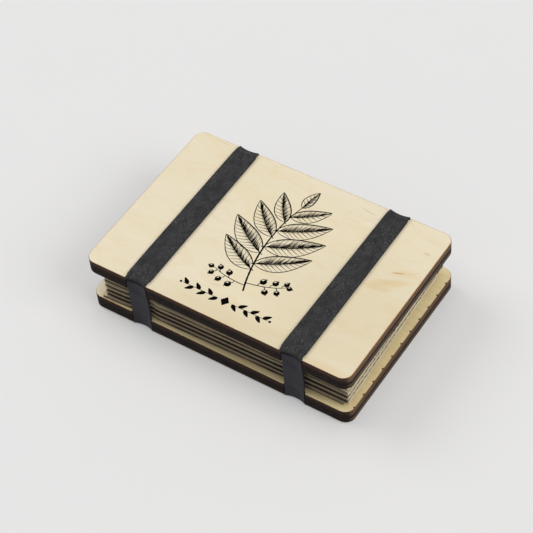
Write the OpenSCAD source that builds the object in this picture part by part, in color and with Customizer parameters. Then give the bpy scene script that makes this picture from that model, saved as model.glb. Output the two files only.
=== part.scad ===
// Small flower press: two notched plywood boards, a stack of corrugated cards
// and blotting papers between them, and two flat rubber bands round the lot.
// X runs along the boards, Y across them, Z up. The origin is on the table,
// under the middle of the boards.

/* [Boards] */
// Length of a board
board_l = 120; // [100:1:180]
// Width of a board
board_w = 80.4; // [66:0.2:130]
// Thickness of the plywood
board_t = 6.6; // [3:0.2:10]
// Radius of the corners in plan
corner_r = 4.2; // [2:0.2:10]

/* [Notches] */
// Distance from the end of a board to the middle of a notch
notch_inset = 24.4; // [16:0.2:40]
// Width of a notch between its straight walls
notch_w = 9.2; // [7:0.1:14]
// Depth of a notch in its middle
notch_d = 1.9; // [1.6:0.1:3.5]
// Rise of the scooped floor from its middle to its walls
notch_sag = 1; // [0.5:0.1:1.2]
// Radius of the rounded ears at the mouth of a notch
ear_r = 0.6; // [0.3:0.05:0.9]

/* [Rubber bands] */
// Width of a band where it lies flat on a board
band_w = 10.4; // [8:0.1:13]
// Thickness of a band
band_t = 0.9; // [0.5:0.1:1.5]
// Gap between a band and each wall of its notch
neck_gap = 0.3; // [0.1:0.05:0.6]
// Length over which a band widens from its notch to its full width
band_flare = 5; // [3:0.2:10]
// Clearance between a band and the floor of its notch
band_fit = 0.05; // [0.02:0.01:0.2]
// How far each edge of a band bulges between the boards, past its width in a notch
band_swell = 0.35; // [0.1:0.05:0.6]

/* [Corrugated cards] */
// Number of cards
card_count = 5; // [2:1:7]
// Thickness of a card over both liners
card_t = 1.75; // [1.2:0.05:3]
// Thickness of a liner
liner_t = 0.2; // [0.1:0.05:0.3]
// Thickness of the fluted medium, measured upright
medium_t = 0.22; // [0.1:0.02:0.4]
// Distance from one flute to the next
flute_pitch = 2.95; // [2.4:0.05:6]
// Depth to which the crests of the medium are glued into the liners
flute_bond = 0.03; // [0.01:0.01:0.08]

/* [Blotting papers] */
// Thickness of a paper
paper_t = 0.37; // [0.25:0.01:0.6]
// Number of papers over each card
papers_over = 3; // [1:1:5]
// How much narrower than a card the narrowest papers are, on each long side
paper_trim = 0.7; // [0:0.1:2]

/* [Stack of sheets] */
// Distance from the end of a board to the end of a sheet
sheet_inset = 4.8; // [3:0.2:12]
// Least gap between the long side of a sheet and a band
sheet_gap = 0.1; // [0.1:0.05:1]
// Angle in plan at which the stack lies between the boards
stack_turn = 1.7; // [0:0.1:2]
// Angle by which single sheets differ from it
turn_slip = 0.1; // [0:0.05:0.5]
// How far the lowest card has slid towards -X
foot_slide = 0.4; // [0:0.1:2]
// How far the upper sheets have slid towards +X past the lowest
stack_lean = 2.3; // [0:0.1:4]
// How far single sheets have slipped along X
sheet_slip = 0.25; // [0:0.05:1]

/* [Hidden] */
$fn = 64;

// Share of the stack's height over which the slide of the sheets builds up
lean_rise_share = 0.2;
// Shares of sheet_slip and turn_slip, taken in turn by the sheets
slip_shares = [0.6, -0.7, 0.1, 1, -0.3, -1, 0.4];
turn_shares = [-0.4, 0.8, -1, 0.3, 1];
// Shares of paper_trim, taken in turn by the papers
trim_shares = [0.4, 1, 0.2, 0.7];
// Points on one side of a flute
flute_steps = 6;

paper_count = card_count * papers_over;
stack_t = card_count * card_t + paper_count * paper_t;
stack_z = band_t + board_t;
lid_z = stack_z + stack_t;
inner_h = lid_z + board_t - band_t;
loop_h = inner_h + 2 * band_t;

notch_x = board_l / 2 - notch_inset;
notch_floor = board_w / 2 - notch_d;
scoop_r = (pow(notch_w / 2, 2) + pow(notch_sag, 2)) / (2 * notch_sag);

neck_w = notch_w - 2 * neck_gap;
// A stretched band thins as it narrows
neck_t = band_t * neck_w / band_w;
band_r = scoop_r - band_fit;
neck_rise = band_r - sqrt(pow(band_r, 2) - pow(neck_w / 2, 2));
flare_in = (band_w - neck_w) / 2;
flare_r = (pow(band_flare, 2) + pow(flare_in, 2)) / (2 * flare_in);
flare_y = notch_floor + neck_rise - band_flare;
swell_w = neck_w + 2 * band_swell;
swell_r = (pow(stack_t / 2, 2) + pow(band_swell, 2)) / (2 * band_swell);

most_turn = stack_turn + turn_slip;
most_shift = max(foot_slide, stack_lean - foot_slide) + sheet_slip;
sheet_l = board_l - 2 * sheet_inset;
sheet_side = (notch_floor - sheet_gap) * cos(most_turn) - (notch_x + most_shift) * sin(most_turn);
sheet_w = 2 * sheet_side;

flute_h = card_t - 2 * liner_t;
flute_count = round(sheet_w / flute_pitch);
flute_p = sheet_w / flute_count;
flute_a = (flute_h - medium_t) / 2 + flute_bond;
flute_half = flute_p * acos(-(flute_h - medium_t) / (2 * flute_a)) / 360;

function card_name(i) = str("corrugated_card_", i);
function paper_name(j) = str("blotting_paper_", j);
CARDS = [for (i = [1 : card_count]) card_name(i)];
PAPERS = [for (j = [1 : paper_count]) paper_name(j)];

// Number of papers under card i, and of cards under paper j
function papers_under(i) = (i - 1) * papers_over;
function cards_under(j) = 1 + floor((j - 1) / papers_over);

function card_z(i) = stack_z + papers_under(i) * paper_t + (i - 1) * card_t;
function paper_z(j) = stack_z + (j - 1) * paper_t + cards_under(j) * card_t;
function lean_at(z) = stack_lean * (1 - cos(180 * min(1, (z - stack_z) / (lean_rise_share * stack_t)))) / 2
    - foot_slide;
function taken(shares, k) = shares[k % len(shares)];

// Outline of a board before its notches are cut
module rounded_plan() {
    square([board_l - 2 * corner_r, board_w], center = true);
    square([board_l, board_w - 2 * corner_r], center = true);
    for (x = [-1, 1], y = [-1, 1])
        translate([x * (board_l / 2 - corner_r), y * (board_w / 2 - corner_r)])
            circle(corner_r);
}

// A notch at the far long edge: straight walls, a scooped floor, rounded ears
module notch_plan() {
    intersection() {
        translate([-notch_w / 2, notch_floor - scoop_r])
            square([notch_w, scoop_r + 2 * notch_d]);
        translate([0, board_w / 2 + scoop_r - notch_d])
            circle(scoop_r);
    }
    for (side = [0, 1]) mirror([side, 0])
        translate([notch_w / 2, board_w / 2])
            difference() {
                translate([-ear_r, -ear_r]) square([2 * ear_r, 2 * ear_r]);
                translate([ear_r, -ear_r]) circle(ear_r);
            }
}

module board_plan() {
    difference() {
        rounded_plan();
        for (x = [-1, 1], y = [0, 1])
            mirror([0, y]) translate([x * notch_x, 0]) notch_plan();
    }
}

module board(z) {
    translate([0, 0, z]) linear_extrude(board_t) board_plan();
}

module bottom_board() {
    color([0.88, 0.80, 0.64]) board(band_t);
}

module top_board() {
    color([0.91, 0.85, 0.72]) board(lid_z);
}

// Plan of the flat run of a band: full width in the middle, drawn in at its notches
module band_plan() {
    difference() {
        union() {
            square([band_w, 2 * flare_y], center = true);
            intersection() {
                square([band_w, board_w], center = true);
                for (y = [-1, 1]) intersection() {
                    translate([band_w / 2 - flare_r, y * flare_y]) circle(flare_r);
                    translate([flare_r - band_w / 2, y * flare_y]) circle(flare_r);
                }
            }
        }
        for (y = [-1, 1])
            translate([0, y * (notch_floor + scoop_r)]) circle(band_r);
    }
}

// Side view of the flat run under the boards: it thins from its flares to its folds
module band_profile() {
    polygon([
        [-flare_y, 0], [flare_y, 0], [notch_floor, band_t - neck_t], [board_w / 2, band_t - neck_t],
        [board_w / 2, band_t], [-board_w / 2, band_t],
        [-board_w / 2, band_t - neck_t], [-notch_floor, band_t - neck_t],
    ]);
}

// Flat run of a band under the boards
module band_run() {
    intersection() {
        linear_extrude(band_t) band_plan();
        rotate([90, 0, 90]) linear_extrude(band_w, center = true) band_profile();
    }
}

// Section of the upright run of a band, from the middle of the scoop outwards,
// with its bends round the edges of both boards
module band_section() {
    translate([band_r - neck_t, band_t]) square([neck_t, inner_h]);
    for (z = [0, 1]) translate([band_r, band_t + z * inner_h])
        intersection() {
            circle(neck_t);
            translate([-neck_t, (z - 1) * neck_t]) square([2 * neck_t, neck_t]);
        }
}

// Front view of the upright run of a band: it bulges between the boards
module upright_plan() {
    square([neck_w, loop_h], center = true);
    intersection() {
        translate([swell_w / 2 - swell_r, 0]) circle(swell_r);
        translate([swell_r - swell_w / 2, 0]) circle(swell_r);
        square([band_w, stack_t], center = true);
    }
}

// Upright run of a band at the far edge, curved in plan like the notch it lies in
module band_upright() {
    intersection() {
        translate([0, notch_floor + scoop_r, 0]) rotate_extrude() band_section();
        translate([0, board_w / 2, loop_h / 2]) rotate([90, 0, 0])
            linear_extrude(scoop_r, center = true) upright_plan();
    }
}

module band(x) {
    translate([x, 0, loop_h / 2]) {
        for (z = [0, 1]) mirror([0, 0, z]) translate([0, 0, -loop_h / 2]) band_run();
        for (y = [0, 1]) mirror([0, y, 0]) translate([0, 0, -loop_h / 2]) band_upright();
    }
}

module band_left() {
    color([0.2, 0.2, 0.21]) band(-notch_x);
}

module band_right() {
    color([0.2, 0.2, 0.21]) band(notch_x);
}

// Lays a sheet in the stack: order is its count from the bottom, z its underside
module laid(order, z) {
    translate([lean_at(z) + sheet_slip * taken(slip_shares, order), 0, z])
        rotate([0, 0, stack_turn + turn_slip * taken(turn_shares, order)])
            children();
}

// Section of the open channel over a trough of the medium
module channel_section() {
    polygon([for (s = [-flute_steps : flute_steps])
        let (y = flute_half * s / flute_steps)
            [y, medium_t / 2 - flute_a * cos(360 * y / flute_p)]]);
}

// Section of a card across its flutes, with open channels at both long sides
module card_section() {
    difference() {
        square([sheet_w, card_t], center = true);
        for (f = [0 : flute_count])
            translate([f * flute_p - sheet_w / 2, 0]) channel_section();
        for (f = [0 : flute_count - 1])
            translate([(f + 0.5) * flute_p - sheet_w / 2, 0]) mirror([0, 1]) channel_section();
    }
}

module corrugated_card(i) {
    color([0.80, 0.72, 0.57])
        laid(papers_under(i) + i, card_z(i))
            translate([-sheet_l / 2, 0, card_t / 2]) rotate([90, 0, 90])
                linear_extrude(sheet_l) card_section();
}

module blotting_paper(j) {
    color([0.93, 0.90, 0.83])
        laid(cards_under(j) + j, paper_z(j))
            linear_extrude(paper_t)
                square([sheet_l, sheet_w - 2 * paper_trim * taken(trim_shares, j)],
                    center = true);
}

bottom_board();
top_board();
band_left();
band_right();
for (i = [1 : card_count])
    corrugated_card(i);
for (j = [1 : paper_count])
    blotting_paper(j);
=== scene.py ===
import math

import bpy
import numpy as np
from mathutils import Matrix, Vector, geometry, noise


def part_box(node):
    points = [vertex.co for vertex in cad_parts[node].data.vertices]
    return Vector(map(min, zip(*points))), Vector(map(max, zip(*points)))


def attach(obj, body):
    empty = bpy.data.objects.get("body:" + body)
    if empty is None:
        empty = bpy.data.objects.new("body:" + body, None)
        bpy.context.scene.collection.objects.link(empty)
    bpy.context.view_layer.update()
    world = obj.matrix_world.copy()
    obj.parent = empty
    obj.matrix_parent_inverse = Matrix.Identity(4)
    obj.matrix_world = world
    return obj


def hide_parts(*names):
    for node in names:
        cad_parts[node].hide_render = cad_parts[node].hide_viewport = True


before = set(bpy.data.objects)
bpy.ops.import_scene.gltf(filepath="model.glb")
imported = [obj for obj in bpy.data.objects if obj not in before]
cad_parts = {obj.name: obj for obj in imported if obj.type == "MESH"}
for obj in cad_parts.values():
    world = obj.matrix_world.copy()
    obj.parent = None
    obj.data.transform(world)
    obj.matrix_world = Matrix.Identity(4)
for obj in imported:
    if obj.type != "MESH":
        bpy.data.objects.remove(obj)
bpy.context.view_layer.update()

# Small flower press. Lengths are in millimetres as far as make_mesh, which turns them to metres.
MM = 0.001


def box_mm(node):
    """The low and the high corner of a node's box."""
    return [[v / MM for v in corner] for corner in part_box(node)]


# Sizes read from the frame
BOARD_LOW, BOARD_HIGH = box_mm("bottom_board")
LID_LOW, LID_HIGH = box_mm("top_board")
BAND_LOW, BAND_HIGH = box_mm("band_right")
BOARD_L = BOARD_HIGH[0] - BOARD_LOW[0]
BOARD_W = BOARD_HIGH[1] - BOARD_LOW[1]
BOARD_T = BOARD_HIGH[2] - BOARD_LOW[2]
LID_TOP = LID_HIGH[2]
BAND_T = BOARD_LOW[2]
BAND_W = BAND_HIGH[0] - BAND_LOW[0]
NOTCH_X = (BAND_HIGH[0] + BAND_LOW[0]) / 2
LOOP_H = BAND_HIGH[2]

# Boards: corners, notches, the softened edge that a laser leaves and how far its cut wanders
CORNER_R = 4.2
NOTCH_W = 9.2
NOTCH_D = 1.9
NOTCH_SAG = 1.0
EAR_R = 0.6
ARRIS = 0.16
CUT_WANDER = 0.05
SCOOP_R = (NOTCH_W ** 2 / 4 + NOTCH_SAG ** 2) / (2 * NOTCH_SAG)
NOTCH_FLOOR = BOARD_W / 2 - NOTCH_D

# Bands: width in a notch and between the boards, play in the notch, length of the part that
# narrows, rounding of the edges, inner radius of the folds, and bulge between the boards
NECK_W = 8.8
BETWEEN_W = 9.4
BAND_FIT = 0.06
BAND_FLARE = 3.4
BAND_EDGE_R = 0.26
BEND_R = 0.2
BULGE = 0.45
# Each band's shift, full width and neck width at the far fold and at the near fold, as the
# photograph shows them
BAND_RUNS = {
    "band_left": ((0.08, 10.1, 9.1), (0.28, 10.45, 9.5)),
    "band_right": ((-0.15, 9.6, 9.0), (-0.20, 10.35, 9.6)),
}
# Where the rubber bunches at an upper fold, each with its place, half length and height. The
# ridge and the dip lie on the flat run, placed by their distance from the fold. The bead, the
# groove and the painted shade of its crease lie below it, placed by their depth under the flat run.
RIDGE = (1.15, 0.62, 0.50)
DIP = (2.6, 0.7, -0.05)
BEAD = (BEND_R, 0.34, 0.52)
GROOVE = (1.40, 0.60, -0.45)
CREASE = (1.10, 0.80, 1.0)

# Cards: thickness of their sheets, spacing of the flutes, and how far inside the liners' long
# edges the fluted sheet ends
LINER_T = 0.2
MEDIUM_T = 0.22
FLUTE_PITCH = 2.95
FLUTE_INSET = 1.25
# How far each card's long edges are pressed together: the lowest has taken the most knocks
PRESSED = {"corrugated_card_1": 0.45, "corrugated_card_4": 0.42, "corrugated_card_5": 0.50}
LITTLE_PRESSED = 0.04

# Print: how far the ink stands over the board and reaches into it, and the hair by which each
# piece of ink stands higher than the last
INK_T = 0.016
INK_ROOT = 0.02
INK_STEP = 0.00002


def fine_noise(x, y, z, scale):
    """Smooth noise between about -1 and 1, with lumps of about 1 / scale."""
    return noise.noise(Vector((x * scale, y * scale, z * scale)))


def smooth_step(low, high, value):
    """0 up to low, 1 from high on, and an even curve between them."""
    t = min(1.0, max(0.0, (value - low) / (high - low)))
    return t * t * (3 - 2 * t)


def lump(place, shape):
    """The height at a place of a smooth lump with a given middle, half length and height."""
    middle, half_length, height = shape
    return height * math.exp(-((place - middle) / half_length) ** 2)


def placed(name, data):
    """A new object of the scene, with the given data."""
    piece = bpy.data.objects.new(name, data)
    bpy.context.scene.collection.objects.link(piece)
    return piece


def make_mesh(name, points, faces, material, sharp_deg=35, attributes=None):
    """A mesh object from points in millimetres, with smooth shading up to a given angle."""
    mesh = bpy.data.meshes.new(name)
    mesh.from_pydata([tuple(v * MM for v in p) for p in points], [], faces)
    mesh.polygons.foreach_set("use_smooth", [True] * len(mesh.polygons))
    mesh.set_sharp_from_angle(angle=math.radians(sharp_deg))
    for key, values in (attributes or {}).items():
        layer = mesh.attributes.new(key, "FLOAT", "POINT")
        layer.data.foreach_set("value", values)
    mesh.materials.append(material)
    mesh.update()
    return placed(name, mesh)


def stand_in(node, ending, slot, *mesh):
    """A piece that rides on a node's body and stands for the node."""
    piece = make_mesh(node + ending, *mesh)
    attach(piece, node)
    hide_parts(node)


def arc(cx, cy, r, start_deg, end_deg, steps):
    """Points on an arc, both ends included."""
    turn = [math.radians(start_deg + (end_deg - start_deg) * k / steps) for k in range(steps + 1)]
    return [(cx + r * math.cos(a), cy + r * math.sin(a)) for a in turn]


def grid_faces(rows, cols, wrap_rows=False, wrap_cols=False):
    """Quads between the points of a grid stored row by row."""
    faces = []
    for r in range(rows if wrap_rows else rows - 1):
        for c in range(cols if wrap_cols else cols - 1):
            nr, nc = (r + 1) % rows, (c + 1) % cols
            faces.append((r * cols + c, r * cols + nc, nr * cols + nc, nr * cols + c))
    return faces


# Materials

# A colour Mix node takes its factor at input 0 and its colours at 6 and 7, and gives their mix
# at output 2
COLOUR_MIX = {"output": 2, "data_type": "RGBA"}


def linear(hex_colour):
    """An sRGB hex colour as linear RGBA."""
    parts = [int(hex_colour[k:k + 2], 16) / 255 for k in (1, 3, 5)]
    return [v / 12.92 if v <= 0.04045 else ((v + 0.055) / 1.055) ** 2.4 for v in parts] + [1.0]


class Nodes:
    """The node tree of a material or of the world."""

    def __init__(self, name, world=None):
        self.material = world or bpy.data.materials.new(name)
        self.material.use_nodes = True
        self.tree = self.material.node_tree
        self.tree.nodes.clear()

    def add(self, kind, inputs=(), output=0, stops=(), **settings):
        """Adds a node with its settings and links, and returns one of its outputs. The inputs
        come in order or by name, and each is an output of another node, a number or a hex
        colour. The stops of a colour ramp are (place, hex colour or grey level)."""
        node = self.tree.nodes.new("ShaderNode" + kind)
        for key, value in settings.items():
            setattr(node, key, value)
        for key, value in (inputs.items() if isinstance(inputs, dict) else enumerate(inputs)):
            if isinstance(value, bpy.types.NodeSocket):
                self.tree.links.new(value, node.inputs[key])
            else:
                node.inputs[key].default_value = linear(value) if isinstance(value, str) else value
        for k, (place, colour) in enumerate(stops):
            stop = node.color_ramp.elements[k] if k < 2 else node.color_ramp.elements.new(place)
            stop.position = place
            stop.color = linear(colour) if isinstance(colour, str) else [colour] * 3 + [1.0]
        return node.outputs[output] if len(node.outputs) else None

    def lumps(self, along, across, up, offset=0.0, turn_deg=0.0, detail=2.0, rough=0.5, distortion=0.0):
        """A pattern of lumps with the given sizes in mm along X, Y and Z of the piece."""
        place = self.add("Mapping", {
            "Vector": self.add("TexCoord", output="Object"),
            "Location": (offset, offset * 1.7, offset * 0.6),
            "Rotation": (0.0, 0.0, math.radians(turn_deg)),
            "Scale": (1 / (along * MM), 1 / (across * MM), 1 / (up * MM)),
        })
        return self.add("TexNoise", {"Vector": place, "Scale": 1.0, "Detail": detail,
                                     "Roughness": rough, "Distortion": distortion})

    def spot(self, x, y, half_x, half_y, turn_deg=0.0, period_y=500.0):
        """1 in the middle of an ellipse on a board's face and 0 from its rim on, in mm, at any
        height. It is repeated along Y, by default outside the board."""
        far = 1000
        ends = [(way * far * MM, (y + way * period_y / 2) * MM, way * far * MM) for way in (1, -1)]
        place = self.add("TexCoord", output="Object")
        place = self.add("VectorMath", [place, *ends], operation="WRAP")
        place = self.add("Mapping", {
            "Vector": place,
            "Location": (x * MM, y * MM, 0.0),
            "Rotation": (0.0, 0.0, math.radians(turn_deg)),
            "Scale": (half_x * MM, half_y * MM, far),
        }, vector_type="TEXTURE")
        away = self.add("VectorMath", [place, place], "Value", operation="DOT_PRODUCT")
        return self.add("Math", [1.0, away], operation="SUBTRACT", use_clamp=True)

    def seen_plainly(self):
        """1 for what the camera sees directly, in a mirror or through glass, and 0 otherwise."""
        path = self.add("LightPath").node.outputs
        through = [path["Is Glossy Ray"], path["Is Transmission Ray"]]
        through = self.add("Math", through, operation="MAXIMUM")
        return self.add("Math", [path["Is Camera Ray"], through], operation="MAXIMUM")


def made(name, surface, *facts):
    """A material whose surface function gives the sockets of its shader."""
    n = Nodes(name)
    n.add("OutputMaterial", [n.add("BsdfPrincipled", surface(n, *facts))])
    return n.material


# Burns from the slats of the laser bed: their spacing, half their size, and where one lies
BURN_PERIOD = 6.95
BURN_HALF_X, BURN_HALF_Y = 0.80, 0.62
BURN_Y = -1.3


def birch_plywood(n, pale, warm, fibre_low, flecks, browned, ticks):
    """Laser-cut birch plywood. The rotary-cut veneer of its face is pale, with faint figure and
    a few brown flecks, and the laser has charred its cut edges nearly black. Where a ply's grain
    runs along the cut it chars less, and the ends of the board are painted lighter still as
    painted light, so they show lighter stripes and a brighter amber line that the long sides
    lack. Browned is how strongly scorch shows round the face and in the upper plies."""
    edge_mm, ply_mm, side, end_cut = [n.add("Attribute", output="Fac", attribute_name=key)
                                      for key in ("edge_mm", "ply_mm", "side", "end_cut")]
    cloud = n.lumps(46, 13, 40, turn_deg=6, detail=3, rough=0.55, distortion=0.8)
    figure = n.add("ValToRGB", [cloud], stops=[(0.30, pale), (0.72, warm)])
    # Vessels are about 0.1 mm wide, and are drawn at 0.28 mm to show
    fibre = n.lumps(7, 0.28, 0.5, 3.1, detail=4, rough=0.62)
    shade = n.add("ValToRGB", [fibre], stops=[(0.30, fibre_low), (0.60, 1.0)])
    face = n.add("Mix", {0: 1.0, 6: figure, 7: shade}, **COLOUR_MIX, blend_type="MULTIPLY")
    # Late-wood figure that runs slantwise through the veneer
    wave = n.lumps(30, 9, 20, 12.4, 9, detail=1.5, rough=0.4, distortion=1.2)
    wave = n.add("Math", [wave, 4.0], operation="MULTIPLY")
    wave = n.add("Math", [wave, 0.5], operation="PINGPONG")
    wave = n.add("ValToRGB", [wave], stops=[(0.02, 0.16), (0.12, 0.0)])
    face = n.add("Mix", {0: wave, 6: face, 7: "#dcbf86"}, **COLOUR_MIX)
    # Pin flecks and bark streaks, broken up by the grain, and washes wider than a millimetre, among them
    # painted shade and painted light on the base
    streak = n.add("ValToRGB", [fibre], stops=[(0.35, 0.35), (0.60, 1.0)])
    for x, y, half_x, half_y, turn_deg, strength, tint in flecks:
        mark = n.add("Math", [n.spot(x, y, half_x, half_y, turn_deg), strength], operation="MULTIPLY")
        if half_y <= 1:
            mark = n.add("Math", [mark, streak], operation="MULTIPLY")
        face = n.add("Mix", {0: mark, 6: face, 7: tint}, **COLOUR_MIX)

    # Thin scorched rim of the face, worked out from the distance to the cut edge
    reach = n.lumps(3.0, 3.0, 3.0, 5.0, detail=3)
    reach = n.add("Math", [reach, 0.6, 0.08], operation="MULTIPLY_ADD")
    near = n.add("Math", [edge_mm, reach], operation="DIVIDE")
    scorch = n.add("ValToRGB", [near], stops=[(0.0, browned), (0.5, 0.6 * browned), (1.0, 0.0)])
    face = n.add("Mix", {0: scorch, 6: face, 7: "#c08a4a"}, **COLOUR_MIX)
    if ticks:
        # Burns from the slats of the laser bed, in a row just inside one end of the board
        burn = n.spot(BOARD_L / 2, BURN_Y, BURN_HALF_X, BURN_HALF_Y, 0, BURN_PERIOD)
        burn = n.add("Math", [burn, 2.0], operation="MULTIPLY", use_clamp=True)
        face = n.add("Mix", {0: burn, 6: face, 7: "#2a1f18"}, **COLOUR_MIX)

    # Charred edge with five plies, lighter at the ends of the board, partly from the grain and partly as
    # painted light
    height = n.add("Math", [ply_mm, BOARD_T], operation="DIVIDE")
    high = 0.50 + 2.3 * browned
    plies = n.add("ValToRGB", [height], stops=[
        (0.07, 0.1), (0.15, 0.75), (0.28, 0.75), (0.35, 0.0), (0.50, 0.0),
        (0.60, high), (0.72, high), (0.80, 0.7 * high), (0.92, high)])
    soot = n.lumps(2.2, 2.2, 1.0, 2.2, detail=4, rough=0.6)
    bare = n.add("ValToRGB", [soot], stops=[(0.25, 0.6), (0.6, 1.0)])
    # The ends' plies are lighter partly for their grain and partly as painted light; the long sides get
    # next to none
    ply_grain_and_painted_light = n.add("Math", [end_cut, 0.90, 0.04], operation="MULTIPLY_ADD")
    ply_grain_and_painted_light = n.add("Math", [plies, ply_grain_and_painted_light], operation="MULTIPLY")
    ply_grain_and_painted_light = n.add("Math", [ply_grain_and_painted_light, bare], operation="MULTIPLY")
    upper = n.add("ValToRGB", [height], stops=[(0.64, 0.0), (0.78, 1.35 * browned)])
    top_line = n.add("ValToRGB", [height], stops=[(0.86, 0.0), (0.96, 1.0)])
    # The amber line under the top arris is scorch, made brighter and stronger at the ends as painted
    # light
    amber = n.add("Math", [end_cut, 2.5 * browned, 1.35 * browned], operation="MULTIPLY_ADD")
    amber = n.add("Math", [top_line, amber], operation="MULTIPLY")
    amber_tint = n.add("Mix", {0: end_cut, 6: "#573420", 7: "#a36b35"}, **COLOUR_MIX)
    char = n.add("ValToRGB", [soot], stops=[(0.28, "#0e0b0a"), (0.52, "#1a1412"), (0.78, "#332722")])
    for amount, tint in ((ply_grain_and_painted_light, "#75604f"), (upper, "#775542"), (amber, amber_tint)):
        char = n.add("Mix", {0: amount, 6: char, 7: tint}, **COLOUR_MIX)
    colour = n.add("Mix", {0: side, 6: face, 7: char}, **COLOUR_MIX)

    grain_bump = n.add("Bump", {"Height": fibre, "Distance": 0.03 * MM, "Strength": 0.35})
    soot_bump = n.add("Bump", {"Height": soot, "Distance": 0.10 * MM, "Strength": 0.5})
    normal = n.add("Mix", {0: side, 4: grain_bump, 5: soot_bump}, 1, data_type="VECTOR")
    # The face is closed by sanding, and char is duller and soaks up more light
    matt = n.add("MapRange", {"Value": fibre, "To Min": 0.52, "To Max": 0.66})
    dull = n.add("Math", [side, 0.8], operation="MULTIPLY")
    rough = n.add("Math", [matt, dull], operation="MAXIMUM")
    gloss = n.add("Math", [side, -0.22, 1.45], operation="MULTIPLY_ADD")
    return {"Base Color": colour, "Roughness": rough, "Normal": normal, "IOR": gloss}


def flat_rubber(n):
    """Black natural rubber, cut flat from a sheet: matte, with a faint mottled bloom and a
    little dust in its pores."""
    bloom = n.lumps(2.6, 4.0, 3, detail=4, rough=0.66)
    colour = n.add("ValToRGB", [bloom], stops=[(0.34, "#030305"), (0.66, "#2b2b2e")])
    # Pores and specks of dust are 0.1 mm or less, and are drawn at 0.3 and 0.6 mm to show
    pores = n.lumps(0.30, 0.30, 0.30, 2.0)
    dust = n.lumps(0.6, 0.8, 0.6, 4.0, detail=3, rough=0.7)
    dust = n.add("ValToRGB", [dust], stops=[(0.54, 0.0), (0.68, 0.38)])
    where = n.add("ValToRGB", [n.lumps(9, 11, 9, 9.0)], stops=[(0.38, 0.15), (0.60, 1.0)])
    dust = n.add("Math", [dust, where], operation="MULTIPLY")
    # The upright runs are painted lighter and bluer, a painted reflection of the room. The crease
    # under each fold is painted dark as shade, being too deep and narrow for light to come out of.
    side_run_painted_reflection = n.add("Attribute", output="Fac", attribute_name="side_run")
    side_run_painted_reflection = n.add("Math", [side_run_painted_reflection, 0.6], operation="MULTIPLY")
    crease = n.add("Attribute", output="Fac", attribute_name="crease")
    for amount, tint in ((dust, "#7b7d78"), (side_run_painted_reflection, "#2e2e38"), (crease, "#020203")):
        colour = n.add("Mix", {0: amount, 6: colour, 7: tint}, **COLOUR_MIX)
    normal = n.add("Bump", {"Height": bloom, "Distance": 0.15 * MM, "Strength": 0.25})
    normal = n.add("Bump", {"Height": pores, "Distance": 0.03 * MM, "Strength": 0.5, "Normal": normal})
    rough = n.add("MapRange", {"Value": bloom, "To Min": 0.52, "To Max": 0.68})
    # The crease's painted shade also takes away its reflection
    gloss = n.add("Math", [crease, -0.32, 1.32], operation="MULTIPLY_ADD")
    return {"Base Color": colour, "Roughness": rough, "Normal": normal, "IOR": gloss}


def long_edges_painted_shade(n, colour):
    """A sheet's colour, darkened with painted shade along its long cut edges."""
    amount = n.add("Attribute", output="Fac", attribute_name="long_edge")
    amount = n.add("Math", [amount, 0.85], operation="MULTIPLY")
    return n.add("Mix", {0: amount, 6: colour, 7: "#685d50"}, **COLOUR_MIX)


def kraft_board(n):
    """Fine-flute corrugated card, glued from cream kraft liners and a fluted sheet: short fibres
    and a dull face. The fluted sheet and the liners' inner faces are a darker kraft, painted
    nearly black as the shade in the hollows, and the long cut edges are darkened with painted shade."""
    # Fibres are about 0.03 mm wide, and are drawn at 0.7 mm to show
    fibre = n.lumps(1.3, 0.7, 0.7, detail=5, rough=0.7)
    liner = n.add("ValToRGB", [fibre], stops=[(0.28, "#cdbd98"), (0.50, "#dfd0ac"), (0.75, "#ebdfc0")])
    # The fluted sheet and the liners' inner faces: a darker kraft, painted nearly black as the shade
    # inside the flutes
    dark_kraft_and_painted_shade = n.add("ValToRGB", [fibre], stops=[(0.28, "#1f1710"), (0.75, "#33271c")])
    core = n.add("Attribute", output="Fac", attribute_name="core")
    colour = n.add("Mix", {0: core, 6: liner, 7: dark_kraft_and_painted_shade}, **COLOUR_MIX)
    normal = n.add("Bump", {"Height": fibre, "Distance": 0.05 * MM, "Strength": 0.5})
    return {"Base Color": long_edges_painted_shade(n, colour), "Roughness": 0.9, "Normal": normal, "IOR": 1.4}


def blotting_stock(n):
    """Soft unsized blotting paper, felted from cotton: off-white and fuzzy, each sheet a little
    different in tone, and darkened with painted shade along its long cuts."""
    # Fibres are about 0.02 mm wide, and their clumps are drawn at 0.6 mm to show
    felt = n.lumps(0.6, 0.6, 0.6, detail=5, rough=0.75)
    sheets = n.lumps(60, 60, 0.4, 1.0, detail=1)
    tone = n.add("ValToRGB", [sheets], stops=[(0.35, "#d9cdb0"), (0.65, "#ebe1ca")])
    mottle = n.add("ValToRGB", [felt], stops=[(0.25, 0.86), (0.60, 1.0)])
    colour = n.add("Mix", {0: 1.0, 6: tone, 7: mottle}, **COLOUR_MIX, blend_type="MULTIPLY")
    normal = n.add("Bump", {"Height": felt, "Distance": 0.06 * MM, "Strength": 0.6})
    return {"Base Color": long_edges_painted_shade(n, colour), "Roughness": 0.95, "Normal": normal, "IOR": 1.4}


def printing_ink(n):
    """Thin black ink, printed flat, that has sunk into the veneer: deep black with next to no
    sheen of its own, slightly broken by the grain."""
    grain = n.lumps(1.2, 0.25, 0.5, detail=3)
    colour = n.add("ValToRGB", [grain], stops=[(0.30, "#020202"), (0.72, "#120f0d")])
    return {"Base Color": colour, "Roughness": 0.8, "IOR": 1.06}


# The floor's grey, how far its tooth varies it, and its own light in plain views
FLOOR_GREY = 0.56
FLOOR_TOOTH = 0.005
FLOOR_GLOW = 0.24


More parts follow.
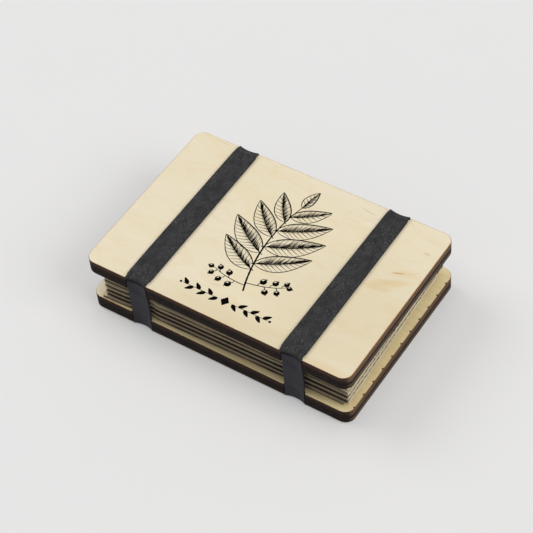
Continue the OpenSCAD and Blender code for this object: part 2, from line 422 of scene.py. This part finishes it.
def studio_paper(n):
    """Seamless paper, calendered matte. It reflects as a mid grey and takes the shadow, and its
    own light, which only plain views see, lifts it to the photograph's even pale grey."""
    tooth = n.lumps(40, 40, 40)
    greys = [(0.0, FLOOR_GREY - FLOOR_TOOTH), (1.0, FLOOR_GREY + FLOOR_TOOTH)]
    colour = n.add("ValToRGB", [tooth], stops=greys)
    glow = n.add("Math", [n.seen_plainly(), FLOOR_GLOW], operation="MULTIPLY")
    return {"Base Color": colour, "Roughness": 0.95, "IOR": 1.3,
            "Emission Color": "#ffffff", "Emission Strength": glow}


# Flecks, streaks and washes on the boards' faces: x, y, half length, half width, turn in
# degrees, strength, colour
BARK, GOLD, GREY = "#b5803f", "#d8b262", "#c6b48a"
TOP_FLECKS = [
    (-12.5, -21.8, 3.6, 0.36, -9, 0.50, BARK), (-7.6, -25.7, 2.9, 0.35, 10, 0.45, BARK),
    (50.3, 13.6, 3.2, 0.50, 22, 1.0, BARK), (54.8, 27.2, 1.8, 0.45, 0, 0.75, BARK),
    (24.0, 35.2, 4.6, 0.40, -10, 0.55, BARK), (-47.0, 38.9, 7.5, 0.22, 0, 0.5, BARK),
    (49.5, 7.5, 10.0, 2.4, 27, 0.44, GOLD), (46.0, 3.2, 8.5, 1.8, 12, 0.34, GOLD),
    (52.5, 14.5, 7.0, 2.6, 20, 0.22, GOLD), (50.0, -39.2, 12.0, 3.2, 1, 0.30, GOLD),
    (45.0, -14.0, 42.0, 38.0, 0, 0.22, GREY), (5.0, -40.0, 44.0, 12.0, 0, 0.30, GREY),
    (-30.0, 12.0, 6.0, 1.6, 4, 0.12, GOLD), (-10.7, -24.5, 8.0, 2.6, -4, 0.12, GOLD),
]
BASE_FLECKS = [
    (20.0, -12.0, 5.0, 0.4, 5, 0.5, BARK), (-41.0, 20.0, 6.0, 0.5, -4, 0.4, BARK),
    # On the base: painted shade as a grey strip along the front next to the sheets, and a painted pool
    # of light over the left end
    (4.0, -37.2, 58.0, 3.6, 0, 0.50, "#857a64"), (-61.0, -22.0, 9.0, 36.0, 0, 0.75, "#fff8e6"),
]
TOP_PLY = made("birch_plywood_top", birch_plywood, "#e9dfc5", "#e7dab9", 0.955, TOP_FLECKS, 0.22, False)
# The base's copy of the plywood is painted lighter and yellower than the lid's, as painted light on the
# ledges that the lid and the sheets shade
BASE_PLY_PAINTED_LIGHTER = made("birch_plywood_base", birch_plywood, "#f5e6b8", "#ebd7a4", 0.86, BASE_FLECKS, 0.1, True)
RUBBER = made("flat_black_rubber", flat_rubber)
KRAFT = made("kraft_corrugated_card", kraft_board)
BLOTTING = made("felted_blotting_paper", blotting_stock)
INK = made("black_printing_ink", printing_ink)
STUDIO = made("studio_background_paper", studio_paper)


# Boards

def board_outline():
    """The cut outline of a board, anticlockwise from the left end of its front edge."""
    half_l, half_w = BOARD_L / 2, BOARD_W / 2
    wall = NOTCH_W / 2
    open_deg = math.degrees(math.asin(wall / SCOOP_R))

    def notch(cx):
        """A notch in the front edge, met from the left."""
        left_ear = arc(cx - wall - EAR_R, EAR_R - half_w, EAR_R, -90, 0, 5)
        scoop = arc(cx, NOTCH_D - half_w - SCOOP_R, SCOOP_R, 90 + open_deg, 90 - open_deg, 20)
        right_ear = arc(cx + wall + EAR_R, EAR_R - half_w, EAR_R, 180, 270, 5)
        return left_ear + scoop + right_ear

    steps = 24
    shares = [q / steps for q in range(1, steps)]
    spans = [(CORNER_R - half_l, -NOTCH_X - wall - EAR_R),
             (-NOTCH_X + wall + EAR_R, NOTCH_X - wall - EAR_R),
             (NOTCH_X + wall + EAR_R, half_l - CORNER_R)]
    half = arc(CORNER_R - half_l, CORNER_R - half_w, CORNER_R, 225, 270, 8)
    for k, (start, end) in enumerate(spans):
        half += [(start + (end - start) * share, -half_w) for share in shares]
        if k < 2:
            half += notch((-NOTCH_X, NOTCH_X)[k])
    half += arc(half_l - CORNER_R, CORNER_R - half_w, CORNER_R, 270, 360, 14)
    rise = BOARD_W - 2 * CORNER_R
    half += [(half_l, CORNER_R - half_w + rise * share) for share in shares]
    half += arc(half_l - CORNER_R, half_w - CORNER_R, CORNER_R, 0, 45, 8)[:-1]
    return half + [(-x, -y) for x, y in half]


def outward_normals(outline):
    """Unit normals at the points of an anticlockwise outline."""
    result = []
    for (x0, y0), (x1, y1) in zip(outline[-1:] + outline, outline[1:] + outline[:1]):
        dx, dy = x1 - x0, y1 - y0
        length = math.hypot(dx, dy)
        result.append((dy / length, -dx / length))
    return result


def face_triangles(rim, spacing_mm):
    """Triangles over the inside of a rim, with rows of points near it. Returns the points,
    the rim's among them first, the triangles, and each point's distance to the rim."""
    rim_xy = np.array(rim)
    margin, furthest = 3.0, 6.0

    def rim_distance(p):
        return float(np.min(np.hypot(rim_xy[:, 0] - p[0], rim_xy[:, 1] - p[1])))

    extra = []
    for inset, every in ((0.35, 1), (0.9, 1), (2.0, 2)):
        for (x, y), (nx, ny) in list(zip(rim, outward_normals(rim)))[::every]:
            p = (x - inset * nx, y - inset * ny)
            if rim_distance(p) > 0.9 * inset:
                extra.append(p)
    x_half, y_half = rim_xy.max(axis=0) - margin
    for x in np.arange(-x_half, x_half, spacing_mm):
        for y in np.arange(-y_half, y_half, spacing_mm):
            if rim_distance((x, y)) > margin:
                extra.append((float(x), float(y)))
    points = [Vector(p) for p in rim + extra]
    edges = [(k, (k + 1) % len(rim)) for k in range(len(rim))]
    found, _, triangles, *_ = geometry.delaunay_2d_cdt(points, edges, [], 1, 1e-6)
    near = [min(furthest, rim_distance(p)) for p in found]
    return [tuple(p) for p in found], [tuple(t) for t in triangles], near


def make_board(name, z_low, material):
    """A board with softened edges. Point values: edge_mm is the distance from the cut edge,
    ply_mm the height in the plywood, side is 1 on the charred edge, and end_cut is 1 where
    that edge faces along the board."""
    outline = board_outline()
    normals = outward_normals(outline)
    count = len(outline)
    points = []
    values = {"edge_mm": [], "ply_mm": [], "side": [], "end_cut": []}

    def note(*point_values):
        for listed, value in zip(values.values(), point_values):
            listed.append(value)

    bevel = [(ARRIS * (1 - math.cos(a)), ARRIS * (1 - math.sin(a)))
             for a in (math.radians(d) for d in (0, 30, 60))]
    # Rings of points round the cut edge, from the bottom up: how far in and how high each lies
    rings = bevel[::-1] + [(0.0, BOARD_T * k / 6) for k in range(1, 6)]
    rings += [(inset, BOARD_T - height) for inset, height in bevel]
    for inset, height in rings:
        for (x, y), (nx, ny) in zip(outline, normals):
            reach = inset - CUT_WANDER * fine_noise(x, y, z_low, 0.35)
            points.append((x - reach * nx, y - reach * ny, z_low + height))
            at_end = abs(x) > BOARD_L / 2 - CORNER_R
            note(0.0, height, 1.0, smooth_step(0.65, 1.0, abs(nx)) * at_end)
    faces = grid_faces(len(rings), count, wrap_cols=True)

    rim = [(x - ARRIS * nx, y - ARRIS * ny) for (x, y), (nx, ny) in zip(outline, normals)]
    flat, triangles, near = face_triangles(rim, 5.0)
    for top in (True, False):
        start = len(points)
        height = BOARD_T if top else 0.0
        for (x, y), edge in zip(flat, near):
            points.append((x, y, z_low + height))
            note(edge, height, 0.0, 0.0)
        ring = (len(rings) - 1) * count if top else 0
        pairs = [(k, (k + 1) % count) for k in range(count)]
        cap = [(ring + k, ring + nk, start + nk, start + k) for k, nk in pairs]
        cap += [tuple(start + v for v in t) for t in triangles]
        faces += cap if top else [f[::-1] for f in cap]
    stand_in(name, "_laser_cut", "birch_plywood", points, faces, material, 50, values)


# Rubber bands

def band_section():
    """Points round the band's section: how far each is towards its long edges (-1 to 1), how
    far past the start of its rounding in mm, and its height over the inner face in mm."""
    across = 18
    outer = [(2 * k / across - 1, 0.0, BAND_T) for k in range(across + 1)]
    inner = [(1 - 2 * k / across, 0.0, 0.0) for k in range(across + 1)]
    edge = []
    for deg in (65, 40, 15, -15, -40, -65):
        a = math.radians(deg)
        centre = BAND_T - BAND_EDGE_R if deg > 0 else BAND_EDGE_R
        edge.append((1, BAND_EDGE_R * math.cos(a), centre + BAND_EDGE_R * math.sin(a)))
    other_edge = [(-1, -past, high) for _, past, high in reversed(edge)]
    return outer + edge + inner + other_edge


def flat_half_width(y, run, near_run):
    """Half the width of a band's flat run at y, with its middle's shift. A run narrows over the
    last few millimetres before its fold."""
    far, near = near_run
    share = (run - y) / (2 * run)
    shift, full, neck = ((1 - share) * a + share * b for a, b in zip(far, near))
    spread = smooth_step(0, 1, min(1, (run - abs(y)) / BAND_FLARE) ** 0.7)
    return (neck + (full - neck) * spread) / 2, shift


def band_stations():
    """Stops along half of a loop, from the middle of the upper run over the far folds to the
    middle of the lower run: (kind, place). A place is mm along a flat run, degrees round a bend
    or a share of the upright run, and they lie closest near the upper fold."""
    half = NOTCH_FLOOR
    stretches = [
        ("top", 0, half - 6, 14), ("top", half - 5.5, half - BEND_R, 24), ("bend_top", 6, 84, 11),
        ("side", 0, 1, 56), ("bend_low", 8, 82, 7),
        ("low", half - BEND_R, half - 6.5, 10), ("low", half - 7, 0, 10),
    ]
    return [(kind, place ** 1.5 if kind == "side" else place)
            for kind, start, end, count in stretches for place in np.linspace(start, end, count)]


def band_point(stop, section_point, way, runs, seed):
    """A point of a band at a stop on the loop, on the far side, with x from the notch's middle."""
    kind, place = stop
    towards, past, high = section_point
    on_outside = high > BAND_T / 2
    inner_top, inner_low = LOOP_H - BAND_T, BAND_T
    run = NOTCH_FLOOR + BAND_FIT
    half, shift = flat_half_width(way * (place if kind in ("top", "low") else run), run, runs)
    if kind == "side":
        ease, drawn_over, shift_over = 0.6, 1.8, 1.5
        gap_low, gap_high = BOARD_HIGH[2] + ease, LID_LOW[2] - ease
        z = inner_top - BEND_R + (inner_low - inner_top + 2 * BEND_R) * place
        swell = math.sin(math.pi * min(1, max(0, (gap_high - z) / (gap_high - gap_low))))
        drawn_in = smooth_step(0, drawn_over, inner_top - z) * smooth_step(0, drawn_over, z - inner_low)
        half = NECK_W / 2 + (BETWEEN_W - NECK_W) / 2 * swell + (half - NECK_W / 2) * (1 - drawn_in)
        shift *= 1 - smooth_step(0, shift_over, inner_top - z)
    if kind in ("low", "bend_low"):
        half, shift = min(half, BAND_W / 2), 0.0
    u = towards * (half - BAND_EDGE_R) + past
    rise = SCOOP_R - BAND_FIT
    sag = rise - math.sqrt(rise ** 2 - u ** 2)

    if kind in ("top", "low"):
        from_fold = run - place
        y = place + smooth_step(run - 8, run, place) * sag
        if kind == "low":
            return u + shift, y, inner_low - high
        ridge = lump(from_fold, RIDGE) * (1 - 0.5 * abs(towards) ** 3)
        lift = 0.05 * fine_noise(u, y, seed, 0.25) * smooth_step(0, 4, from_fold)
        dip = lump(from_fold, DIP) * on_outside
        return u + shift, y, inner_top + high + max(0.0, ridge + lift) + dip

    bead_place, bead_length, bead_out = BEAD
    bead = bead_out * (high / BAND_T) * (1 - 0.35 * abs(towards) ** 2)
    if kind == "side":
        free_over = 2.6
        free = smooth_step(0, free_over, LID_LOW[2] - z) * smooth_step(0, free_over, z - BOARD_HIGH[2])
        y = run + sag * (1 - 0.75 * free) + high + BULGE * free
        tuck = lump(inner_top - z, (bead_place, bead_length, bead))
        groove = lump(inner_top - z, GROOVE) * on_outside
        return u + shift, y + tuck + groove, z
    a = math.radians(place if kind == "bend_top" else 90 - place)
    roll = bead * math.sin(a) if kind == "bend_top" else 0.0
    y = run + sag - BEND_R + (BEND_R + high) * math.sin(a) + roll
    fall = BEND_R - (BEND_R + high) * math.cos(a)
    z = inner_top - fall + roll * 0.25 if kind == "bend_top" else inner_low + fall
    return u + shift, y, z


def make_band(name, x_mid, seed):
    """A closed band round both boards, drawn in where it lies in the notches. At each upper
    fold the rubber bunches into a low ridge and a bead that hangs over a crease."""
    section = band_section()
    stations = band_stations()
    points = []
    values = {"crease": [], "side_run": []}
    for way in (1, -1):
        for stop in stations[::way][:-1]:
            for part in section:
                u, y, z = band_point(stop, part, way, BAND_RUNS[name], seed + way)
                drift = 0.05 * fine_noise(y * way, z, seed, 0.2)
                points.append((x_mid + u + drift, way * y, z))
                upright = float(stop[0] == "side")
                # Where the painted shade of the crease lies under the fold
                crease = lump(LOOP_H - BAND_T - z, CREASE) * (1 - 0.4 * abs(part[0]) ** 3)
                values["crease"].append(upright * crease)
                # The upright runs, which take the painted reflection
                values["side_run"].append(upright)
    rows, cols = len(points) // len(section), len(section)
    faces = [f[::-1] for f in grid_faces(rows, cols, wrap_rows=True, wrap_cols=True)]
    stand_in(name, "_flat_rubber", "black_rubber", points, faces, RUBBER, 80, values)


# Cards and papers

def sheet_place(name):
    """Where a sheet lies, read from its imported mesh: middle, turn, length, width, low and high."""
    corners = np.array([v.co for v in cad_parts[name].data.vertices]) / MM
    front_left = corners[corners[:, 1].argmin()]
    front_right = corners[corners[:, 0].argmax()]
    back_left = corners[corners[:, 0].argmin()]
    along = front_right[:2] - front_left[:2]
    across = back_left[:2] - front_left[:2]
    middle = (front_right[:2] + back_left[:2]) / 2
    turn = math.atan2(along[1], along[0])
    low, high = corners[:, 2].min(), corners[:, 2].max()
    return middle, turn, math.hypot(*along), math.hypot(*across), low, high


def laid_out(place, x, y, z):
    """A point of a sheet's own plan, moved to where the sheet lies."""
    middle, turn = place[0], place[1]
    c, s = math.cos(turn), math.sin(turn)
    return middle[0] + c * x - s * y, middle[1] + s * x + c * y, z


def stops_between(low, high, count):
    """Evenly spaced stops, and one more a hair inside each end, where a cut edge stops."""
    hair = 0.25
    inner = np.linspace(low, high, count)[1:-1]
    return np.concatenate([[low, low + hair], inner, [high - hair, high]])


def front_reach(place, x):
    """How far a sheet's soft front edge stands out past the plain solid at x: more towards the
    right and at its left end, and less where the left band presses it back."""
    middle, turn = place[0], place[1]
    spread, lean, bow = 1.45, 0.010, 0.00012
    from_band = abs(middle[0] + x * math.cos(turn) + NOTCH_X) / 5.6
    left_end = 0.22 * (1 - smooth_step(-48, -42, x))
    return spread + lean * x + bow * x ** 2 - 0.52 * math.exp(-from_band ** 6) + left_end


def end_short(z):
    """How far short of the plain solids the sheets' right ends stop, for a sheet at a height."""
    return 0.3 * smooth_step(BOARD_HIGH[2] + 1, BOARD_HIGH[2] + 6, z)


def slab(place, height_of, thickness, xs, ys, seed):
    """Points and faces of a closed thin sheet whose middle surface follows height_of(x, y).
    The marks tell of each point: on a long edge, on any edge, and which face (1 or -1)."""
    points, marks = [], []
    held_back = 0.45 * (0.5 + 0.5 * math.sin(2.4 * seed))
    end_rag, edge_rag, rag_scale = 0.10, 0.08, 0.8
    for side in (1, -1):
        for x in xs:
            for y in ys:
                at_end, at_edge = x in (xs[0], xs[-1]), y in (ys[0], ys[-1])
                rag_x = end_rag * abs(fine_noise(y, seed, side, rag_scale)) * at_end
                rag_y = edge_rag * abs(fine_noise(x, seed, side, rag_scale)) * at_edge
                z = height_of(x, y) + side * thickness / 2
                spread = 1 + (front_reach(place, x) - held_back) / (place[3] / 2) * (y < 0)
                x_end, y_end = x - rag_x * np.sign(x), y * spread - rag_y * np.sign(y)
                points.append(laid_out(place, x_end, y_end, z))
                marks.append((at_edge, at_end or at_edge, side))
    nx, ny = len(xs), len(ys)
    quads = grid_faces(nx, ny)
    half = nx * ny
    faces = [q[::-1] for q in quads] + [tuple(half + v for v in q) for q in quads]
    border = list(range(ny)) + [r * ny + ny - 1 for r in range(1, nx)]
    border += [(nx - 1) * ny + c for c in range(ny - 2, -1, -1)] + [r * ny for r in range(nx - 2, 0, -1)]
    for a, b in zip(border, border[1:] + border[:1]):
        faces.append((a, b, half + b, half + a))
    return points, faces, marks


def make_paper(name, seed):
    """A blotting paper: a thin soft sheet that is not quite flat in its slot."""
    place = sheet_place(name)
    _, _, length, width, low, high = place
    thick = 0.66 * (high - low)
    play = (high - low - thick) / 2

    def height_of(x, y):
        wave = 0.75 * fine_noise(x, y, seed, 0.045) + 0.5 * fine_noise(x, y, seed + 9, 0.14)
        return (low + high) / 2 + play * max(-1, min(1, 1.6 * wave))

    xs = stops_between(-length / 2, length / 2 - end_short(low), 41)
    ys = stops_between(-width / 2, width / 2, 25)
    points, faces, marks = slab(place, height_of, thick, xs, ys, seed)
    values = {"long_edge": [float(mark[0]) for mark in marks]}
    stand_in(name, "_felted", "blotting_paper", points, faces, BLOTTING, 40, values)


def make_card(name, seed):
    """A corrugated card: two liners with a fluted sheet glued between them, its long edges
    a little crushed."""
    place = sheet_place(name)
    _, _, length, width, low, high = place
    middle = (low + high) / 2
    flutes = round(width / FLUTE_PITCH)
    pitch = width / flutes
    reach = (high - low) / 2 - 0.03
    pressed = PRESSED.get(name, LITTLE_PRESSED)

    def crush(x, y):
        """How far a liner is pressed in: more at the long edges, in patches."""
        from_edge = max(0.0, width / 2 - abs(y))
        patch = max(0.0, 0.9 + 1.3 * fine_noise(x, math.copysign(50, y), seed, 0.07))
        corner = math.exp(-(length / 2 - abs(x)) / 3)
        return min(0.5, pressed * patch + 0.08 * corner) * math.exp(-(from_edge / 1.6) ** 2)

    def flute_turn(y):
        return 2 * math.pi * (y + width / 2) / pitch

    def liner(side):
        """A liner, with the faint washboard that the flutes leave in it."""
        def height_of(x, y):
            washboard = 0.02 * abs(math.cos(flute_turn(y)))
            return middle + side * (reach - LINER_T / 2 - crush(x, y) - washboard)
        return slab(place, height_of, LINER_T, xs, ys, seed + side)

    def medium_height(x, y):
        """The fluted sheet, a hair into both liners, where it is glued."""
        swing = reach - LINER_T - MEDIUM_T / 2 + 0.02 - 0.9 * crush(x, y)
        return middle - swing * math.cos(flute_turn(y))

    right_end = length / 2 - end_short(low)
    xs = stops_between(-length / 2, right_end, 61)
    ys = stops_between(-width / 2, width / 2, 2 * flutes + 1)
    inner_xs = stops_between(0.15 - length / 2, right_end - 0.04, 25)
    inner_ys = np.linspace(FLUTE_INSET - width / 2, width / 2 - FLUTE_INSET, 10 * flutes + 1)
    inner = slab(place, medium_height, MEDIUM_T, inner_xs, inner_ys, seed)
    upper, lower = liner(1), liner(-1)
    points, faces, marks = [], [], []
    for part_points, part_faces, part_marks in (upper, lower, inner):
        start = len(points)
        points += part_points
        faces += [tuple(start + v for v in f) for f in part_faces]
        marks += part_marks
    # The liners' inner faces and the fluted sheet take the core colour, painted dark as the shade in the
    # hollows, but not their cut ends
    core = [float(side == -1 and not cut) for _, cut, side in upper[2]]
    core += [float(side == 1 and not cut) for _, cut, side in lower[2]]
    core += [1.0 if on_long or not cut else 0.05 for on_long, cut, _ in inner[2]]
    values = {"long_edge": [float(mark[0]) for mark in marks], "core": core}
    stand_in(name, "_fluted", "corrugated_card", points, faces, KRAFT, 40, values)


# Printed sprig on the top board

class Pen:
    """Collects ink as thin closed strips and plates on the face of the top board."""

    def __init__(self):
        self.points = []
        self.faces = []
        self.count = 0

    def lift(self):
        """The height of the next piece of ink, so that none share a plane."""
        self.count += 1
        return INK_T + INK_STEP * (self.count % 200)

    def stroke(self, path, width, taper=0.6, fade=0.0):
        """A line along a path of (x, y). It thins by taper towards both ends and by fade
        towards its last end."""
        path = [np.array(p, float) for p in path]
        lift = self.lift()
        start = len(self.points)
        for k, p in enumerate(path):
            ahead = path[min(k + 1, len(path) - 1)] - path[max(k - 1, 0)]
            length = math.hypot(*ahead) or 1.0
            side = np.array([-ahead[1], ahead[0]]) / length
            t = k / (len(path) - 1)
            shake = 1 + 0.22 * fine_noise(p[0], p[1], self.count, 0.9)
            half = 0.5 * width * shake * (1 - taper * (2 * t - 1) ** 4) * (1 - fade * t)
            for sign, z in ((1, lift), (-1, lift), (-1, -INK_ROOT), (1, -INK_ROOT)):
                q = p + sign * max(half, 0.01) * side
                self.points.append((q[0], q[1], LID_TOP + z))
        rows = len(path)
        self.faces += [tuple(start + v for v in f[::-1]) for f in grid_faces(rows, 4, wrap_cols=True)]
        self.faces.append((start, start + 1, start + 2, start + 3))
        last = start + 4 * (rows - 1)
        self.faces.append((last + 3, last + 2, last + 1, last))

    def fill(self, outline):
        """A solid patch inside an outline of (x, y) that runs anticlockwise round its middle."""
        lift = self.lift()
        start, count = len(self.points), len(outline)
        middle = np.mean(np.array(outline, float), axis=0)
        for z in (lift, -INK_ROOT):
            self.points += [(q[0], q[1], LID_TOP + z) for q in list(outline) + [middle]]
        low = start + count + 1
        for k in range(count):
            nk = (k + 1) % count
            self.faces.append((start + k, start + nk, start + count))
            self.faces.append((low + nk, low + k, low + count))
            self.faces.append((low + k, low + nk, start + nk, start + k))


def bezier(a, b, c, d, steps):
    """Points on a cubic curve."""
    a, b, c, d = (np.array(p, float) for p in (a, b, c, d))
    return [(1 - t) ** 3 * a + 3 * (1 - t) ** 2 * t * b + 3 * (1 - t) * t ** 2 * c + t ** 3 * d
            for t in (k / steps for k in range(steps + 1))]


def heading_pair(degrees):
    """Unit steps ahead and to the left for a heading."""
    a = math.radians(degrees)
    return np.array([math.cos(a), math.sin(a)]), np.array([-math.sin(a), math.cos(a)])


def draw_leaf(pen, foot, heading_deg, length, width, curl, dark_side):
    """A pointed leaf with a bold margin, a midrib and side veins, engraved with fine lines
    that run out from the midrib and lie closer on its darker half."""
    ahead, left = heading_pair(heading_deg)
    foot = np.array(foot, float)
    steps, vein_gap, line_gap, tick_gap = 24, 2.3, 0.46, 0.8

    def spine(t):
        return foot + ahead * length * t + left * curl * length * (t - t * t) * 1.2

    def breadth(t):
        return width / 2 * (math.sin(math.pi * max(0.0, t) ** 0.8) ** 0.85) * (1 - 0.12 * t)

    def vein(side, t, run, reach, steps=6):
        """A curve from the midrib at t, out and forward, over a share of the breadth."""
        result = []
        for q in range(steps + 1):
            share = q / steps
            at = min(0.99, t + run * share)
            result.append(spine(at) + side * left * breadth(at) * reach * share ** 0.9)
        return result

    for side in (1, -1):
        margin = [spine(k / steps) + side * left * breadth(k / steps) for k in range(steps + 1)]
        pen.stroke(margin, 0.46 if side == dark_side else 0.36, 0.3)
    pen.stroke([spine(-0.06 + 1.04 * k / steps) for k in range(steps + 1)], 0.50, 0.3, 0.6)
    veins = max(4, round(length / vein_gap))
    for side in (1, -1):
        for v in range(1, veins):
            pen.stroke(vein(side, v / veins * 0.84 + 0.02, 0.13, 0.93), 0.30, 0.2, 0.6)
    lines = round(length / line_gap)
    for h in range(lines):
        t = 0.03 + 0.88 * h / lines
        wander = fine_noise(h, length, heading_deg, 0.35)
        pen.stroke(vein(dark_side, t, 0.10, 0.66 + 0.34 * wander, 4), 0.34, 0.1, 0.85)
        if h % 2:
            pen.stroke(vein(-dark_side, t, 0.08, 0.26 + 0.16 * wander, 3), 0.22, 0.1, 0.85)
    # Short ticks inward from the margin of the darker half
    for h in range(round(length / tick_gap)):
        t = 0.22 + 0.70 * h / (length / tick_gap)
        rim = spine(t) + dark_side * left * breadth(t)
        reach = 0.22 + 0.12 * fine_noise(h, 4.0, length, 0.5)
        inward = -dark_side * left * breadth(t) * reach - ahead * 0.5
        pen.stroke([rim, rim + inward * 0.5, rim + inward], 0.22, 0.1, 0.8)


def draw_berry(pen, foot, centre, r):
    """A dark round berry on a stalk, with a small light left where it shines."""
    foot, centre = np.array(foot, float), np.array(centre, float)
    away = (centre - foot) / math.hypot(*(centre - foot))
    bend = np.array([-away[1], away[0]]) * 0.5
    stalk = bezier(foot, foot + away + bend, centre - away * (r + 0.8) + bend, centre - away * r, 8)
    pen.stroke(stalk, 0.32, 0.2)
    pen.stroke(arc(centre[0], centre[1], r, 0, 360, 24), 0.30, 0.0)
    dark = []
    for deg in range(0, 360, 15):
        shine = lump(deg, (128, 34, 1.0))
        dark.append(centre + r * (0.98 - 0.72 * shine) * heading_pair(deg)[0])
    pen.fill(dark)
    heading = math.degrees(math.atan2(away[1], away[0]))
    for turn in (-35, 0, 35):
        out = heading_pair(heading + turn)[0]
        pen.stroke([centre + away * r, centre + away * r + 0.6 * out], 0.24, 0.2)


def draw_sprig(pen):
    """An upright leafy sprig, with leaves in turn on both sides and a spray of dark berries
    on each side of its foot."""
    stem_steps = 48
    stem = bezier((3.2, -23.2), (-2.5, -9.0), (-4.0, 9.0), (0.2, 24.0), stem_steps)
    pen.stroke(stem, 0.85, 0.2, 0.5)

    def on_stem(share):
        """The point at a share of the stem, and the stem's heading there."""
        k = min(stem_steps - 1, int(share * stem_steps))
        step = stem[k + 1] - stem[k]
        return stem[k] + step * (share * stem_steps - k), math.degrees(math.atan2(step[1], step[0]))

    # Share of the stem, side, angle to the stem, length, width
    leaf_rows = [
        (0.24, 1, 48, 21.0, 8.4), (0.30, -1, 68, 22.5, 8.6), (0.42, 1, 50, 22.5, 9.4),
        (0.49, -1, 64, 24.0, 9.6), (0.61, 1, 46, 20.0, 8.6), (0.68, -1, 56, 22.0, 8.8),
        (0.79, 1, 40, 16.0, 7.0), (0.86, -1, 44, 16.5, 6.8),
    ]
    for share, side, spread, length, width in leaf_rows:
        foot, heading = on_stem(share)
        draw_leaf(pen, foot, heading + side * spread, length, width, 0.16 * side, -side)
    foot, heading = on_stem(0.999)
    draw_leaf(pen, foot, heading + 4, 10.5, 4.8, 0.08, -1)

    for side, share, reach, spread in ((1, 0.06, 15.0, 72), (-1, 0.09, 15.5, 98)):
        foot, heading = on_stem(share)
        ahead, left = heading_pair(heading + side * spread)
        spray = bezier(foot, foot + ahead * reach * 0.35, foot + ahead * reach * 0.7 - left * side * 0.5,
                       foot + ahead * reach - left * side * 2.6, 20)
        pen.stroke(spray, 0.40, 0.2, 0.4)
        for k, edge, out in ((6, 1, 2.9), (9, -1, 2.8), (12, 1, 3.0), (15, -1, 2.7), (18, 1, 2.6)):
            step = heading_pair(heading + side * spread + edge * 58)[0]
            draw_berry(pen, spray[k], spray[k] + out * step, 1.40 - 0.022 * k)
        draw_berry(pen, spray[-1], spray[-1] + ahead * 1.6, 0.95)


def draw_border(pen, y, half):
    """A short printer's border: a solid lozenge between two rows of solid leaves on a line."""
    pen.fill([(1.9, y), (0, y + 2.3), (-1.9, y), (0, y - 2.3)])
    for side in (1, -1):
        pen.stroke([(side * 3.0, y), (side * half * 0.5, y), (side * half, y)], 0.26, 0.3)
        for k in range(6):
            up = 1 if k % 2 else -1
            foot = np.array([side * (3.4 + 2.75 * k), y])
            ahead, left = heading_pair(90 - side * (90 - up * 40))
            leaf = []
            for q in range(16):
                a = 2 * math.pi * q / 16
                t = 0.5 - 0.5 * math.cos(a)
                leaf.append(foot + ahead * 3.7 * t - left * 0.95 * math.sin(a) * (1.25 - 0.8 * t))
            pen.fill(leaf[::-1])
        pen.fill(arc(side * (half + 0.9), y, 0.55, 0, 360, 14)[:-1])


def make_print():
    pen = Pen()
    draw_sprig(pen)
    draw_border(pen, -30.8, 19.4)
    drawing = make_mesh("printed_sprig", pen.points, pen.faces, INK, 20)
    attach(drawing, "top_board")


# The press

make_board("bottom_board", BOARD_LOW[2], BASE_PLY_PAINTED_LIGHTER)
make_board("top_board", LID_LOW[2], TOP_PLY)
make_band("band_left", -NOTCH_X, 3.0)
make_band("band_right", NOTCH_X, 8.0)
for order, node_name in enumerate(sorted(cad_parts)):
    if node_name.startswith("blotting_paper"):
        make_paper(node_name, 11.0 + 3.7 * order)
    if node_name.startswith("corrugated_card"):
        make_card(node_name, 5.0 + 2.9 * order)
make_print()


# Studio

WORLD_STRENGTH = 0.40
# Broad soft lamps: the direction each comes from, strength, and apparent size in degrees
LAMPS = {
    "overhead_bank": ((0.05, 0.35, 0.90), 0.44, 50),
    "left_bank": ((-0.80, 0.0, 0.70), 1.04, 36),
    "right_bank": ((0.80, 0.06, 0.66), 1.24, 36),
}


def make_floor():
    half = 3000
    corners = [(-half, -half, 0), (half, -half, 0), (half, half, 0), (-half, half, 0)]
    floor = make_mesh("floor", corners, [(0, 1, 2, 3)], STUDIO)


def make_light():
    """An even white surround with three broad soft lamps: one high behind, one at each end."""
    world = bpy.data.worlds.new("even_white_room")
    bpy.context.scene.world = world
    n = Nodes("even_white_room", world)
    strength = n.add("Math", [WORLD_STRENGTH, n.seen_plainly()], operation="MAXIMUM")
    n.add("OutputWorld", [n.add("Background", {"Color": "#fdfdfe", "Strength": strength})])
    for name, (direction, strength, size) in LAMPS.items():
        lamp = bpy.data.lights.new(name, "SUN")
        lamp.energy = strength
        lamp.angle = math.radians(size)
        lamp.color = linear("#fffdfb")[:3]
        holder = placed(name, lamp)
        holder.rotation_euler = Vector(direction).to_track_quat("Z", "Y").to_euler()


def make_camera():
    """The camera that took the photograph, found from the lines of the boards."""
    azimuth, elevation, roll = (math.radians(a) for a in (37.74, 49.34, -6.19))
    distance = 5.802 * BOARD_L
    target = Vector((0.0364 * BOARD_L, -0.0705 * BOARD_L, LID_TOP))
    focal_px, image_px, sensor_mm = 1810, 533, 36
    back = Vector((math.sin(azimuth) * math.cos(elevation),
                   -math.cos(azimuth) * math.cos(elevation), math.sin(elevation)))
    level = Vector((0, 0, 1)).cross(back).normalized()
    upright = back.cross(level)
    right = level * math.cos(roll) + upright * math.sin(roll)
    up = upright * math.cos(roll) - level * math.sin(roll)
    data = bpy.data.cameras.new("camera")
    data.sensor_width = sensor_mm
    data.lens = focal_px / image_px * sensor_mm
    data.clip_start = 0.01
    camera = placed("camera", data)
    turn = Matrix((right, up, back)).transposed().to_4x4()
    camera.matrix_world = Matrix.Translation((target + back * distance) * MM) @ turn
    bpy.context.scene.camera = camera


make_floor()
make_light()
make_camera()
bpy.context.scene.view_settings.view_transform = "Standard"
